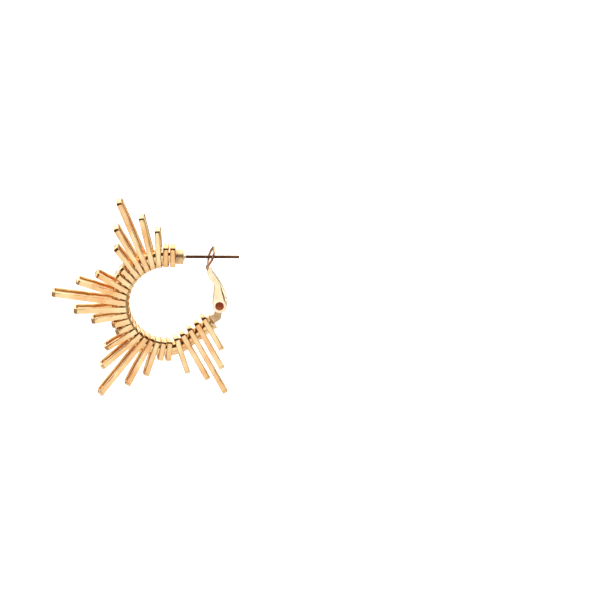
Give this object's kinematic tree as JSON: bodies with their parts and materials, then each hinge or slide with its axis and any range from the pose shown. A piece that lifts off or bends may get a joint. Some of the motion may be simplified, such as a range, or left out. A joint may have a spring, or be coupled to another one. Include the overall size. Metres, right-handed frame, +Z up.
{
  "type": "sunburst hoop earring",
  "caption": "Gold hoop earring with rectangular wire loops of stepped lengths that fan out as a sunburst, a straight ear post, and a hinged lever whose ring closes over the post.",
  "frame": {"origin": "on the ear post's axis, at the middle of the place where the ear lobe sits", "axes": "+X along the post to its free tip, +Y along the hoop's axis (the loops' depth), +Z up, from the clasp's hinge towards the post"},
  "size_m": [0.0486, 0.0062, 0.0522],
  "materials": {
    "gold": "polished, plated",
    "pale_gold": "polished, plated",
    "post_metal": "drawn wire, warm plated",
    "rivet_metal": "polished"
  },
  "bodies": {
    "hoop": {"hoop_tube": "gold", "ray_loop_01": "gold", "ray_loop_02": "gold", "ray_loop_03": "gold", "ray_loop_04": "gold", "ray_loop_05": "gold", "ray_loop_06": "gold", "ray_loop_07": "gold", "ray_loop_08": "gold", "ray_loop_09": "gold", "ray_loop_10": "gold", "ray_loop_11": "gold", "ray_loop_12": "gold", "ray_loop_13": "gold", "ray_loop_14": "gold", "ray_loop_15": "gold", "ray_loop_16": "gold", "ray_loop_17": "gold", "ray_loop_18": "gold", "ray_loop_19": "gold", "ray_loop_20": "gold", "ray_loop_21": "gold", "ray_loop_22": "gold", "ray_loop_23": "gold", "ray_loop_24": "gold", "ray_loop_25": "gold", "ray_loop_26": "gold", "ray_loop_27": "gold", "ray_loop_28": "gold", "post_end_cap": "pale_gold", "post_collar": "pale_gold", "ear_post": "post_metal", "clasp_end_cap": "pale_gold", "hinge_knuckle": "pale_gold", "hinge_rivet": "rivet_metal"},
    "clasp": {"clasp_lever": "pale_gold", "clasp_ring": "gold", "spring_leaf": "gold"}
  },
  "joints": [
    {"name": "clasp_hinge", "type": "hinge", "parent": "hoop", "child": "clasp", "pos_m": [0.00548, 0, -0.0127], "axis": [0, 1, 0], "range_deg": [0, 70]}
  ]
}
